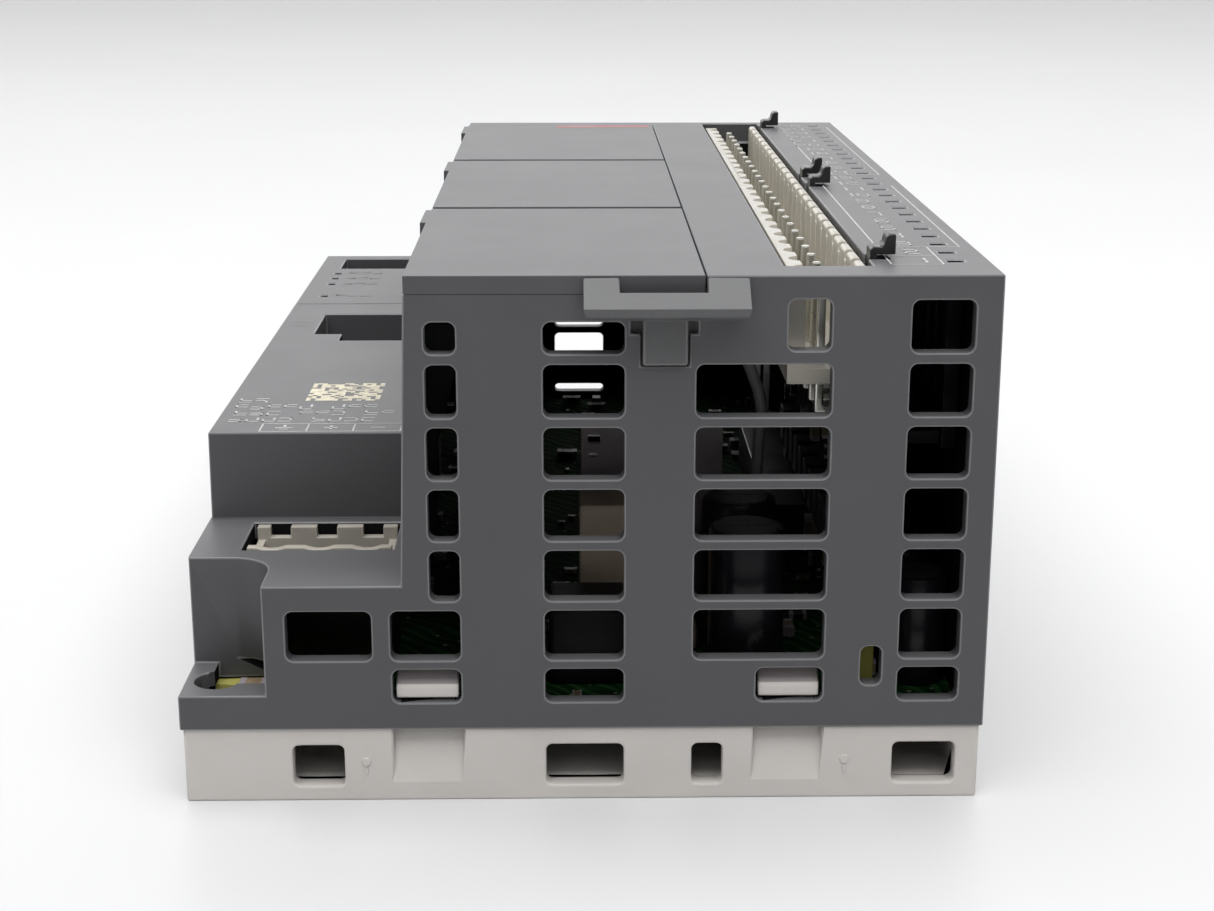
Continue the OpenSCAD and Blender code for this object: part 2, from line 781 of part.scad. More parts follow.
module io_leds() color([0.85, 0.9, 0.7]) place()
    for (i = [0 : near_poles + far_poles - 1])
        span(
            [io_board_x + board_t, io_board_x + board_t + 0.9],
            [pole_y(i) + 1.2, pole_y(i) + 2.4], [36, 37.2]);

module io_light_guide() color([0.8, 0.85, 0.85, 0.6]) place() {
    last = near_poles + far_poles - 1;
    for (i = [0 : last]) {
        block([78.1, pole_y(i) - 0.7, 40], [79.6, pole_y(i) + 0.7, body_h - 0.1]);
        block([72.5, pole_y(i) + 0.2, 36], [78.2, pole_y(i) + 2.4, 37.4]);
    }
    span([78.1, 79.6], [pole_y(0) - 0.7, pole_y(last) + 2.4], [35.8, 40]);
}

// ---- Option sockets and bus connector ----

module option_socket(i) {
    y = i * bay_l + 9;
    difference() {
        span([29.5, 35.5], [y, y + 26], [board_top, 21]);
        for (k = [0 : 9])
            for (x = [31, 33])
                block([x, y + 1.7 + 2.4 * k, 14], [x + 1, y + 2.7 + 2.4 * k, 22]);
    }
}

module option_socket_1() color(chip_black) place() option_socket(0);

module option_socket_2() color(chip_black) place() option_socket(1);

module option_socket_3() color(chip_black) place() option_socket(2);

module bus_connector() color(chip_black) place() difference() {
    union() {
        span([73, body_w - wall - 0.2], [bus_y[0] - 1, bus_y[1] + 1], [board_top, bus_z[1] + 1]);
        span(
            [73, body_w - 0.3], [bus_y[0] + bus_play, bus_y[1] - bus_play],
            [bus_z[0] + bus_play, bus_z[1] - bus_play]);
    }
    span([77, body_w], [62, 82], [13, 17.6]);
}

// ---- Chips and supply parts ----

module chip(x, y, w, l, h) block([x, y, board_top], [x + w, y + l, board_top + h]);

module processor() color(chip_black) place() chip(42, 62, 17, 17, 1.4);

module memory_chips() color(chip_black) place() {
    chip(42, 84, 8, 13, 1.1);
    chip(53, 84, 8, 10, 1.1);
    chip(10, 104, 7, 7, 1);
    chip(42, 104, 10, 10, 1);
}

module input_couplers() color(chip_black) place()
    for (i = [0 : near_poles - 2])
        span([io_board_x - 2.1, io_board_x], [pole_y(i) + 0.6, pole_y(i) + 4.2], [22, 26.4]);

module output_drivers() color(chip_black) place()
    for (i = [0 : 3])
        span([io_board_x - 2.3, io_board_x], [76 + 13 * i, 85 + 13 * i], [22, 32]);

module bulk_capacitors() color([0.2, 0.2, 0.24]) place() {
    for (y = [9, 18, 27])
        translate([76.6, y, board_top]) cylinder(12, r = 3.2);
    for (y = [9, 20])
        translate([58.6, y, board_top]) cylinder(17, r = 4);
}

module power_inductor() color([0.13, 0.13, 0.14]) place() span([37.8, 46], [7, 16], [board_top, 18.4]);

module transformer() color([0.52, 0.47, 0.40]) place() {
    span([41, 53], [18, 30], [board_top, 26.4]);
    span([40, 54], [17, 31], [board_top, 12.5]);
}

// Standing sheet behind the transformer, with two slots
module heat_sink() color(steel) place() difference() {
    span([41.3, 57.6], [31.3, 32.3], [board_top, 32.5]);
    span([42.1, 43.5], [31, 33], [29.7, 30.8]);
    span([42.2, 43.2], [31, 33], [28.1, 28.6]);
}

module backup_capacitor() color(steel) place() translate([12, 44, board_top]) cylinder(2.6, r = 5);

module crystal() color(steel) place() span([54.5, 58.2], [104, 115], [board_top, board_top + 3.4]);

module earth_contact() color(tin) place() {
    along_x(62, 67)
        polygon([
            [58, 6.6], [58, 6.3], [63, 6.1], [66, 5.8], [69, 6.1], [74, 6.3], [74, 6.6],
            [69, 6.35], [66, 6.05], [63, 6.35]
        ]);
}

module board_screws() color(steel) place()
    for (s = screw_spots)
        translate([s[0], s[1], 0]) {
            translate([0, 0, screw_tip_z]) cylinder(board_top - screw_tip_z, r = screw_r);
            difference() {
                translate([0, 0, board_top]) cylinder(1.9, r = screw_head_r);
                translate([-0.3, -1.4, board_top + 1]) cube([0.6, 2.8, 2]);
                translate([-1.4, -0.3, board_top + 1]) cube([2.8, 0.6, 2]);
            }
        }

base_plate();
front_housing();
option_cover_1();
option_cover_2();
option_cover_3();
cable_bracket();
latch_1();
latch_2();
latch_3();
latch_4();
io_header_near();
io_header_far();
io_pins();
power_header();
power_pins();
main_board();
io_board();
board_link();
network_socket();
socket_shield();
socket_contacts();
card_socket();
switch_body();
switch_knob();
status_leds();
status_light_guide();
io_leds();
io_light_guide();
option_socket_1();
option_socket_2();
option_socket_3();
bus_connector();
processor();
memory_chips();
input_couplers();
output_drivers();
bulk_capacitors();
power_inductor();
transformer();
heat_sink();
backup_capacitor();
crystal();
earth_contact();
board_screws();
din_latch();
din_latch_spring();
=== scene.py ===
"""Looks of the PLC module: softened case parts, procedural finishes, printed marks, board parts and light."""
import json
import math
import random

import bmesh
import bpy
from mathutils import Matrix, Vector
from mathutils.bvhtree import BVHTree

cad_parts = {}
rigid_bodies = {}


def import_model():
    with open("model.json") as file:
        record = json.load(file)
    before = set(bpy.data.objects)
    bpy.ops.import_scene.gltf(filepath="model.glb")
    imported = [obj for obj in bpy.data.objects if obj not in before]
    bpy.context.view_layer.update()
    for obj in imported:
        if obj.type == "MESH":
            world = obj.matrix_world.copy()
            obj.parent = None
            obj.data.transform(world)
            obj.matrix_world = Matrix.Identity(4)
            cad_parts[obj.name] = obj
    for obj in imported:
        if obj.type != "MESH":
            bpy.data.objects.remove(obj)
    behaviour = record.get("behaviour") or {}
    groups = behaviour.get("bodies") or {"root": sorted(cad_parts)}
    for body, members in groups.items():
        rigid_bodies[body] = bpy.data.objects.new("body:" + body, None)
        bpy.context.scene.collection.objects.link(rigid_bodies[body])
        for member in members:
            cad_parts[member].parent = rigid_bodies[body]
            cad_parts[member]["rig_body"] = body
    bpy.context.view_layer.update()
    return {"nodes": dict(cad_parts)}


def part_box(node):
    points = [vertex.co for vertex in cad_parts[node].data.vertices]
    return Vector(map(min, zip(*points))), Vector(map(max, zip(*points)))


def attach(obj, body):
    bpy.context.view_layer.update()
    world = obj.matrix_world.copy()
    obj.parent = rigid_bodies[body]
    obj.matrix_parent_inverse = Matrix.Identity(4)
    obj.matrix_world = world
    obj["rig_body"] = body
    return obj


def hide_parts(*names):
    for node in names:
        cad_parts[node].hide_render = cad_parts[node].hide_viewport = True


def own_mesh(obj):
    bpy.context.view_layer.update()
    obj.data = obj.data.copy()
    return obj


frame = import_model()

MM = 0.001
ROOT = "module"
CASE_LOW, CASE_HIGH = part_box("front_housing")
CASE_W = (CASE_HIGH.x - CASE_LOW.x) / MM
CASE_L = (CASE_HIGH.y - CASE_LOW.y) / MM
TOP_Z = CASE_HIGH.z / MM
STAGE_Z = 33.4  # top face of the low stage
BOARD_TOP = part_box("main_board")[1].z / MM
INK_LIFT = 0.02


def at(x, y, z):
    """A row-frame point, from millimetres off the left wall, the near end face and the rail face."""
    return Vector((CASE_LOW.x + x * MM, CASE_LOW.y + y * MM, z * MM))


def local_box(node):
    """A CAD node's lowest and highest corners in the same millimetres as at() takes."""
    low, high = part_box(node)
    shift = Vector((CASE_LOW.x, CASE_LOW.y, 0))
    return (low - shift) / MM, (high - shift) / MM


# ---- Finishes ----

def add(tree, kind, inputs=(), **settings):
    """A shader node; inputs holds plain values or other nodes' outputs."""
    node = tree.nodes.new("ShaderNode" + kind)
    for key, value in settings.items():
        setattr(node, key, value)
    for key, value in dict(inputs).items():
        if isinstance(value, bpy.types.NodeSocket):
            tree.links.new(value, node.inputs[key])
        else:
            node.inputs[key].default_value = value
    return node


def remap(tree, value, low, high, new_low, new_high):
    """The value stretched from one range to another, and held inside it."""
    node = add(tree, "MapRange", {
        "Value": value, "From Min": low, "From Max": high, "To Min": new_low, "To Max": new_high})
    return node.outputs["Result"]


def mix(tree, factor, a, b, how="MIX"):
    """Two colours mixed; each may be a colour or another node's output."""
    node = add(tree, "Mix", {0: factor, 6: a, 7: b}, data_type="RGBA", blend_type=how)
    return node.outputs[2]


def noise(tree, coords, scale, detail=3.0, rough=0.6, distortion=0.0):
    """Fractal noise as a value from 0 to 1."""
    node = add(tree, "TexNoise", {
        "Vector": coords, "Scale": scale, "Detail": detail, "Roughness": rough, "Distortion": distortion})
    return node.outputs["Fac"]


def shaded(colour, k):
    """A colour made darker or brighter, with its alpha."""
    return (colour[0] * k, colour[1] * k, colour[2] * k, 1.0)


class Finish:
    """A procedural material: mottled colour, fine grain, sparse dust, uneven gloss and a light bump."""

    def __init__(self, name, colour, rough=0.5, rough_spread=0.06, spread=0.12, mottle=180.0,
                 grain=3500.0, grain_depth=0.006, speckle=0.1, dust=0.0, dust_colour=(0.5, 0.49, 0.47),
                 metal=0.0, specular=0.5, streak=0.0):
        self.material = bpy.data.materials.new(name)
        self.material.use_nodes = True
        self.tree = tree = self.material.node_tree
        self.shader = tree.nodes["Principled BSDF"]
        self.coords = add(tree, "TexCoord").outputs["Object"]
        broad = noise(tree, self.coords, mottle, 4.0, 0.55, 0.6)
        fine = noise(tree, self.coords, grain, 2.0, 0.7)
        tone = mix(tree, remap(tree, broad, 0.35, 0.65, 0.0, 1.0),
                   shaded(colour, 1 - spread), shaded(colour, 1 + spread))
        tone = mix(tree, remap(tree, fine, 0.3, 0.75, 0.0, speckle), tone, shaded(colour, 2.2))
        if streak:
            tone = mix(tree, self.scratches(streak), tone, shaded(colour, 2.6))
        if dust:
            patch = noise(tree, self.coords, mottle * 0.45, 6.0, 0.7, 1.2)
            tone = mix(tree, remap(tree, patch, 0.5, 0.78, 0.0, dust), tone, (*dust_colour, 1.0))
        self.colour = tone
        self.link(tone, "Base Color")
        gloss = remap(tree, broad, 0.3, 0.7, rough - rough_spread, rough + rough_spread)
        self.link(gloss, "Roughness")
        bump = add(tree, "Bump", {"Height": fine, "Strength": 1.0, "Distance": grain_depth * MM})
        self.link(bump.outputs["Normal"], "Normal")
        self.shader.inputs["Metallic"].default_value = metal
        self.shader.inputs["Specular IOR Level"].default_value = specular

    def link(self, output, socket):
        self.tree.links.new(output, self.shader.inputs[socket])

    def scratches(self, amount):
        """Short hairlines along one axis, kept only where a broad noise allows them."""
        tree = self.tree
        turned = add(tree, "Mapping", {
            "Vector": self.coords, "Rotation": (0.0, 0.0, 0.4), "Scale": (1.0, 0.06, 1.0)})
        lines = remap(tree, noise(tree, turned.outputs["Vector"], 2600.0, 1.0, 0.5), 0.68, 0.74, 0.0, 1.0)
        where = remap(tree, noise(tree, self.coords, 55.0, 2.0), 0.52, 0.62, 0.0, amount)
        both = add(tree, "Math", {0: lines, 1: where}, operation="MULTIPLY")
        return both.outputs[0]

    def recolour(self, factor, colour):
        """Another colour wherever factor is high."""
        self.colour = mix(self.tree, factor, self.colour, (*colour, 1.0))
        self.link(self.colour, "Base Color")


EAR = at(3.35, 4.5, BOARD_TOP)
BARE_RADIUS = 8.5


def board_finish(name, axis):
    """Green solder mask with traces and via rings; bare laminate on cut edges and near the ear."""
    made = Finish(name, (0.008, 0.034, 0.010), rough=0.85, spread=0.25, mottle=140.0, speckle=0.05,
                  grain_depth=0.002, specular=0.04)
    tree = made.tree
    cells = add(tree, "TexVoronoi", {"Vector": made.coords, "Scale": 420.0, "Randomness": 0.9},
                distance="MANHATTAN")
    rings = remap(tree, cells.outputs["Distance"], 0.16, 0.2, 0.8, 0.0)
    lanes = add(tree, "TexWave", {
        "Vector": made.coords, "Scale": 260.0, "Distortion": 5.0, "Detail": 0.0}, bands_direction="DIAGONAL")
    made.recolour(remap(tree, lanes.outputs["Fac"], 0.72, 0.8, 0.0, 0.6), (0.03, 0.11, 0.03))
    made.recolour(rings, (0.30, 0.28, 0.20))
    normal = add(tree, "NewGeometry").outputs["Normal"]
    parts = add(tree, "SeparateXYZ", {0: normal})
    size = add(tree, "Math", {0: parts.outputs[axis]}, operation="ABSOLUTE").outputs[0]
    made.recolour(remap(tree, size, 0.4, 0.6, 1.0, 0.0), (0.20, 0.19, 0.05))
    reach = add(tree, "VectorMath", {0: made.coords, 1: EAR}, operation="DISTANCE").outputs["Value"]
    made.recolour(remap(tree, reach, BARE_RADIUS * 0.9 * MM, BARE_RADIUS * MM, 1.0, 0.0), (0.36, 0.34, 0.10))
    return made.material


def up_face_tint(made, colour):
    """Another colour on the faces that look up; on the case and covers it is a paler painted top light."""
    normal = add(made.tree, "NewGeometry").outputs["Normal"]
    up = add(made.tree, "SeparateXYZ", {0: normal}).outputs["Z"]
    made.recolour(remap(made.tree, up, 0.85, 0.98, 0.0, 1.0), colour)
    return made


def above(made, z, fade, colour):
    """Another colour above a height, with a soft change over fade millimetres."""
    height = add(made.tree, "SeparateXYZ", {0: made.coords}).outputs["Z"]
    made.recolour(remap(made.tree, height, z * MM, (z + fade) * MM, 0.0, 1.0), colour)
    return made


def below(made, z, fade, colour):
    """Another colour below a height, with a soft change over fade millimetres."""
    height = add(made.tree, "SeparateXYZ", {0: made.coords}).outputs["Z"]
    made.recolour(remap(made.tree, height, (z - fade) * MM, z * MM, 1.0, 0.0), colour)
    return made


CASE_LOOK = dict(
    spread=0.02, rough_spread=0.015, mottle=110.0, speckle=0.04, grain_depth=0.008, dust=0.012, streak=0.03)
# Paler colour of the case's and covers' up-facing faces: painted top light.
CASE_PAINTED_TOP = (0.096, 0.096, 0.1)
CASE_GREY = (0.062, 0.062, 0.066)
CASE = up_face_tint(Finish("case_grey_plastic", CASE_GREY, rough=0.5, **CASE_LOOK), CASE_PAINTED_TOP).material
# Lighter, glossier colour on the case's bevel faces: painted edge highlight.
CASE_EDGE_HIGHLIGHT = Finish("case_painted_edge_highlight", (0.150, 0.150, 0.155), rough=0.4, **CASE_LOOK).material
COVER_LOOK = up_face_tint(Finish("cover_grey_plastic", CASE_GREY, rough=0.5, **CASE_LOOK), CASE_PAINTED_TOP)
# Near-black below the seat: painted shade on the parts of the cover that reach into the housing.
COVER = below(COVER_LOOK, TOP_Z - 2.0, 0.1, (0.008, 0.008, 0.009)).material
# Near-black colour for inside faces and window walls: painted shade.
CASE_PAINTED_SHADE = Finish("case_painted_inside_shade", (0.008, 0.008, 0.009), rough=0.8, specular=0.02, spread=0.1).material
BRACKET = Finish("bracket_grey_plastic", (0.078, 0.079, 0.081), rough=0.46, spread=0.06).material
# Lighter colour on the bracket's bevel faces: painted edge highlight.
BRACKET_EDGE_HIGHLIGHT = Finish("bracket_painted_edge_highlight", (0.12, 0.12, 0.122), rough=0.4, spread=0.06).material
BASE_LOOK = Finish("base_grey_plastic", (0.52, 0.495, 0.47), rough=0.5, spread=0.03, mottle=90.0,
                   speckle=0.02, grain_depth=0.005, dust=0.1, dust_colour=(0.36, 0.34, 0.31))
# Darker above this height: painted shade on the upper slopes of the base's hooks.
HOOK_SLOPE_Z = 12.6
BASE = above(BASE_LOOK, HOOK_SLOPE_Z, 0.1, (0.24, 0.215, 0.215)).material
CREAM_LOOK = Finish("cream_plastic", (0.53, 0.50, 0.43), rough=0.42, spread=0.05, speckle=0.03,
                    dust=0.12, dust_colour=(0.4, 0.36, 0.28))
# The cream parts take a greyer colour on their up-facing faces.
CREAM = up_face_tint(CREAM_LOOK, (0.36, 0.345, 0.31)).material
# Darker below 21.2 mm.
SUPPLY = below(Finish("supply_header_plastic", (0.36, 0.335, 0.29), rough=0.42, spread=0.05, speckle=0.03),
               21.2, 1.0, (0.02, 0.015, 0.012)).material
BLACK = Finish("black_plastic", (0.012, 0.012, 0.013), rough=0.36, spread=0.2, speckle=0.06).material
EPOXY = Finish("chip_epoxy", (0.009, 0.009, 0.010), rough=0.5, spread=0.2, specular=0.25).material
CERAMIC = Finish("capacitor_ceramic", (0.20, 0.15, 0.09), rough=0.45, spread=0.2, mottle=500.0).material
TIN = Finish("tin_plate", (0.62, 0.61, 0.56), rough=0.3, spread=0.08, metal=1.0, speckle=0.05).material
GOLD = Finish("gold_plate", (0.80, 0.58, 0.24), rough=0.26, spread=0.08, metal=1.0, speckle=0.04).material
STEEL = Finish("steel_sheet", (0.50, 0.50, 0.52), rough=0.33, spread=0.1, metal=1.0, speckle=0.05).material
PLATE = Finish("dull_plate", (0.34, 0.30, 0.32), rough=0.6, spread=0.1, metal=0.5, speckle=0.05).material
# Near-black can tops: painted shade.
CAN_TOP = Finish("capacitor_can", (0.03, 0.03, 0.032), rough=0.5, spread=0.1, metal=0.6).material
SLEEVE = Finish("capacitor_sleeve", (0.007, 0.007, 0.009), rough=0.3, spread=0.2, specular=0.22).material
TAPE = Finish("winding_tape", (0.36, 0.29, 0.22), rough=0.5, spread=0.12, speckle=0.05).material
COIL = Finish("coil_wrap", (0.006, 0.006, 0.007), rough=0.5, spread=0.2, speckle=0.05, specular=0.15).material
LED = Finish("led_resin", (0.55, 0.58, 0.45), rough=0.3, spread=0.08, speckle=0.05).material
# Near-black light guides, so that the unlit windows look dark: painted shade.
GUIDE_PAINTED_DARK = Finish("light_guide_acrylic_painted_dark", (0.004, 0.004, 0.005), rough=0.3, spread=0.05, speckle=0.02,
               grain_depth=0.001, specular=0.06).material
INK = Finish("pale_ink", (0.40, 0.40, 0.39), rough=0.6, spread=0.15, mottle=700.0, speckle=0.1).material
FAINT_INK = Finish("faint_ink", (0.13, 0.13, 0.13), rough=0.6, spread=0.2, mottle=700.0).material
DULL_WIRE = Finish("dull_wire", (0.30, 0.29, 0.29), rough=0.45, spread=0.1, speckle=0.05).material
CODE_INK = Finish("warm_ink", (0.50, 0.46, 0.36), rough=0.7, spread=0.25, mottle=1200.0, speckle=0.2).material
RED_INK = Finish("red_ink", (0.26, 0.03, 0.035), rough=0.45, spread=0.1, speckle=0.05).material
SHADOW_INK = Finish("shadow_line", (0.02, 0.02, 0.021), rough=0.6, spread=0.1).material
FLAT_BOARD = board_finish("main_board_mask", "Z")
UPRIGHT_BOARD = board_finish("io_board_mask", "X")


# ---- Softened copies of the CAD nodes ----

# Which edges and faces count as what. Lengths are in millimetres and areas in square millimetres.
BEVEL_ANGLE = math.radians(32)    # edges sharper than this are rounded
SMOOTH_ANGLE = math.radians(38)   # edges sharper than this stay sharp in the shading
FLAT = math.radians(0.6)          # faces this close to one plane are one flat face
CURVED_SHARE = 0.3                # share of a face's outline that makes it part of a curved wall
STEP_WIDTHS = 2.4                 # an edge shorter than this many bevel widths may be a step
STEP_TURN = math.radians(35)      # and is one where the outline turns more than this
THIN = 0.004                      # triangles flatter than this are left alone
SLIVER = 0.02                     # faces smaller than this keep their material
SPECK = 0.0001                    # faces smaller than this are dropped after the bevel
TURNED_OVER = -0.2                # so are faces that point this far against their old direction
WELD = 0.002                      # corners closer than this are one corner

# Which housing faces take painted shade, because they are inside
FAN_RAYS = 48                     # rays cast from each face
INSIDE_SHARE = 0.15               # share of them that gets out of a face that isn't inside
RAY_START = 0.05                  # height above the face that they start from
HIGH_STAGE_LOW = (24.9, 1.9, 30.0)
HIGH_STAGE_HIGH = (CASE_W - 1.9, CASE_L - 1.9, TOP_Z - 1.9)
WINDOW_ROOM = 0.4                 # how far a window's wall lies outside its light guide
WINDOW_DEPTH = 3.0                # and how far down it goes

# The near upper rim, which closes with the first cover
SEAM = 0.1
SEAT_Z = TOP_Z - 1.85

# Material places of a softened piece: plain, painted edge highlight and painted inside shade; a bevel's own
# faces are marked until they are settled
PLAIN, PAINTED_HIGHLIGHT, INSIDE_SHADE = 0, 1, 2
BEVEL_MARK = 9

# Light guides: the height of the face their tips stand in, and how far the tips are sunk
GUIDE_DROP = {"io_light_guide": (TOP_Z, 1.6), "status_light_guide": (STAGE_Z, 1.2)}
TIP_HEIGHT = 2

CLOSING_NODES = [
    "base_plate", "main_board", "option_cover_1", "option_cover_2", "option_cover_3", "io_header_near",
    "io_header_far", "power_header", "network_socket"]


def body_of(node):
    """The body that a CAD node rides on."""
    return frame["nodes"][node]["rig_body"]


def node_work(node):
    """A CAD node's mesh with its corners joined, ready to edit."""
    work = bmesh.new()
    work.from_mesh(frame["nodes"][node].data)
    bmesh.ops.remove_doubles(work, verts=work.verts, dist=WELD * MM)
    return work


def node_tree(node):
    """A CAD node's surface, for rays and distances."""
    work = node_work(node)
    tree = BVHTree.FromBMesh(work)
    work.free()
    return tree


def new_piece(name, mesh, material, body=ROOT):
    """A visual piece that rides on a body of the frame."""
    obj = bpy.data.objects.new(name, mesh)
    bpy.context.scene.collection.objects.link(obj)
    for one in material if isinstance(material, (list, tuple)) else [material]:
        mesh.materials.append(one)
    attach(obj, body)
    return obj


def curved(face):
    """A face of a curved wall meets its neighbours at a small angle along much of its outline."""
    gentle = [e.calc_length() for e in face.edges if FLAT < e.calc_face_angle(0.0) < SMOOTH_ANGLE]
    return sum(gentle) > CURVED_SHARE * sum(e.calc_length() for e in face.edges)


def thinness(face):
    """The height of a triangle over its longest side."""
    return 2 * face.calc_area() / max(e.calc_length() for e in face.edges)


def at_cover_seam(edge):
    """The housing's near upper rim, which closes almost flush with the first cover."""
    return all(v.co.y < CASE_LOW.y + SEAM * MM and abs(v.co.z - SEAT_Z * MM) < SEAM * MM for v in edge.verts)


def edges_to_round(work, width):
    """Sharp edges, without those at a short step between other sharp edges, where a bevel would fold."""
    sharp = [
        e for e in work.edges if e.is_manifold and e.calc_face_angle() > BEVEL_ANGLE
        and min(thinness(f) for f in e.link_faces) > THIN * MM and not at_cover_seam(e)]
    known = set(sharp)
    steps = set()
    for e in sharp:
        if e.calc_length() > STEP_WIDTHS * width * MM:
            continue
        for v in e.verts:
            inward = v.co - e.other_vert(v).co
            others = [f for f in v.link_edges if f is not e and f in known]
            turns = [inward.angle(f.other_vert(v).co - v.co) for f in others]
            if turns and min(turns) > STEP_TURN:
                steps.update(e.verts)
    return [e for e in sharp if not steps.intersection(e.verts)]


def fan():
    """Directions spread evenly over a sphere."""
    golden = math.pi * (3 - math.sqrt(5))
    rays = []
    for k in range(FAN_RAYS):
        z = 1 - 2 * (k + 0.5) / FAN_RAYS
        r = math.sqrt(1 - z * z)
        rays.append(Vector((r * math.cos(golden * k), r * math.sin(golden * k), z)))
    return rays


def window_wall(face, windows):
    """A wall of one of the small windows that the light guides stand in."""
    place = face.calc_center_median()
    for low, high in windows:
        room = WINDOW_ROOM * MM
        within = all(low[k] - room < place[k] < high[k] + room for k in (0, 1))
        upright = abs(face.normal.z) < 0.5
        if within and upright and place.z > high.z - WINDOW_DEPTH * MM:
            return True
    return False


def paint_inside_shade(work):
    """Window walls, and faces that see little but other walls, take the painted inside shade material."""
    trees = [BVHTree.FromBMesh(work)] + [node_tree(n) for n in CLOSING_NODES]
    rays = fan()
    low, high = at(*HIGH_STAGE_LOW), at(*HIGH_STAGE_HIGH)
    windows = [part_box(node) for node in GUIDE_DROP]
    for face in work.faces:
        if face.calc_area() < SLIVER * MM * MM:
            continue
        inside = all(low[k] < v.co[k] < high[k] for v in face.verts for k in range(3))
        if inside or window_wall(face, windows):
            face.material_index = INSIDE_SHADE
            continue
        start = face.calc_center_median() + face.normal * RAY_START * MM
        seen = 0
        for ray in rays:
            ray = ray if ray.dot(face.normal) > 0 else -ray
            if all(tree.ray_cast(start, ray)[0] is None for tree in trees):
                seen += 1
        if seen < INSIDE_SHARE * FAN_RAYS:
            face.material_index = INSIDE_SHADE


def settle_faces(work, before, edge_index):
    """Bevel faces get their material; flat triangles that the bevel turned over are dropped."""
    turned = []
    for face in work.faces:
        if face.material_index == BEVEL_MARK:
            face.smooth = True
            face.material_index = edge_index
            continue
        normal = before.find_nearest(face.calc_center_median())[1]
        if face.calc_area() < SPECK * MM * MM or face.normal.dot(normal) < TURNED_OVER:
            turned.append(face)
    bmesh.ops.delete(work, geom=turned, context="FACES_ONLY")


def soften(node, width, material, segments=2, before=None, after=None, merge=False):
    """A copy of a CAD node with clean faces and rounded edges, shown in its place.

    A list of materials holds the plain, the painted edge highlight and, at need, the painted inside shade
    material. before and after edit the mesh on either side of the bevel. merge first joins triangles of one
    flat face.
    """
    work = node_work(node)
    if merge:
        bmesh.ops.dissolve_limit(work, angle_limit=FLAT, verts=work.verts, edges=work.edges)
    for face in work.faces:
        face.material_index = PLAIN
        face.smooth = curved(face)
    if before:
        before(work)
    tree = BVHTree.FromBMesh(work)
    bmesh.ops.bevel(
        work, geom=edges_to_round(work, width), offset=width * MM, segments=segments, profile=0.5,
        affect="EDGES", clamp_overlap=False, loop_slide=merge, material=BEVEL_MARK)
    settle_faces(work, tree, PAINTED_HIGHLIGHT if isinstance(material, (list, tuple)) else PLAIN)
    if after:
        after(work)
    mesh = bpy.data.meshes.new(node + "_look")
    work.to_mesh(mesh)
    work.free()
    for name in [a.name for a in mesh.attributes if a.name.startswith("custom_normal")]:
        mesh.attributes.remove(mesh.attributes[name])
    rounded = [face.use_smooth for face in mesh.polygons]  # the next call makes every face smooth
    mesh.set_sharp_from_angle(angle=SMOOTH_ANGLE)
    mesh.polygons.foreach_set("use_smooth", rounded)
    obj = new_piece(node + "_look", mesh, material, body_of(node))
    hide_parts(node)
    return obj


def sink_guide(node):
    """Light guide tips sit a little below the windows, so that unlit windows look dark."""
    top, drop = GUIDE_DROP[node]

    def sink(work):
        for v in work.verts:
            if v.co.z > (top - TIP_HEIGHT) * MM:
                v.co.z -= drop * MM
    return sink


soften("front_housing", 0.17, [CASE, CASE_EDGE_HIGHLIGHT, CASE_PAINTED_SHADE], before=paint_inside_shade)
soften("cable_bracket", 0.25, [BRACKET, BRACKET_EDGE_HIGHLIGHT], segments=3)
for node in GUIDE_DROP:
    soften(node, 0.1, GUIDE_PAINTED_DARK, after=sink_guide(node))
for i in (1, 2, 3):
    soften(f"option_cover_{i}", 0.1, COVER)
    soften(f"option_socket_{i}", 0.12, BLACK)
for i in (1, 2, 3, 4):
    soften(f"latch_{i}", 0.12, BLACK)
soften("base_plate", 0.22, BASE, merge=True)
SOFT_NODES = [
    ("din_latch", 0.25, CASE, "case_grey"),
    ("io_header_near", 0.09, CREAM, "cream_plastic"), ("io_header_far", 0.09, CREAM, "cream_plastic"),
    ("power_header", 0.12, SUPPLY, "cream_plastic"), ("board_link", 0.15, BLACK, "black_plastic"),
    ("io_pins", 0.2, TIN, "tin"), ("power_pins", 0.2, TIN, "tin"),
    ("network_socket", 0.15, BLACK, "black_plastic"), ("switch_body", 0.12, BLACK, "black_plastic"),
    ("switch_knob", 0.08, BLACK, "black_plastic"), ("bus_connector", 0.15, BLACK, "black_plastic"),
    ("socket_shield", 0.08, STEEL, "steel"), ("card_socket", 0.12, STEEL, "steel"),
    ("heat_sink", 0.08, PLATE, "steel"), ("backup_capacitor", 0.3, STEEL, "steel"),
    ("crystal", 0.4, STEEL, "steel"), ("board_screws", 0.1, STEEL, "steel"),
    ("status_leds", 0.1, LED, "led_resin"), ("io_leds", 0.1, LED, "led_resin"),
    ("processor", 0.12, EPOXY, "chip_epoxy"), ("memory_chips", 0.1, EPOXY, "chip_epoxy"),
    ("input_couplers", 0.12, EPOXY, "chip_epoxy"), ("output_drivers", 0.15, EPOXY, "chip_epoxy"),
    ("power_inductor", 0.5, COIL, "black_plastic"), ("transformer", 0.4, TAPE, "coil_tape"),
    ("bulk_capacitors", 0.5, SLEEVE, "sleeve")]
for node, width, material, slot in SOFT_NODES:
    soften(node, width, material)
for node, material, slot in [
        ("main_board", FLAT_BOARD, "circuit_board"), ("io_board", UPRIGHT_BOARD, "circuit_board"),
        ("socket_contacts", GOLD, "gold"), ("earth_contact", TIN, "tin")]:
    shown = frame["nodes"][node]
    shown.data.materials.clear()
    shown.data.materials.append(material)


# ---- Board parts, solder, spring and base marks ----

POLES = 25
PITCH = 5.08
FIRST_POLE = 7.75
POST_Z = 39.97  # height of the terminal posts where they leave the upright board
rng = random.Random(7)


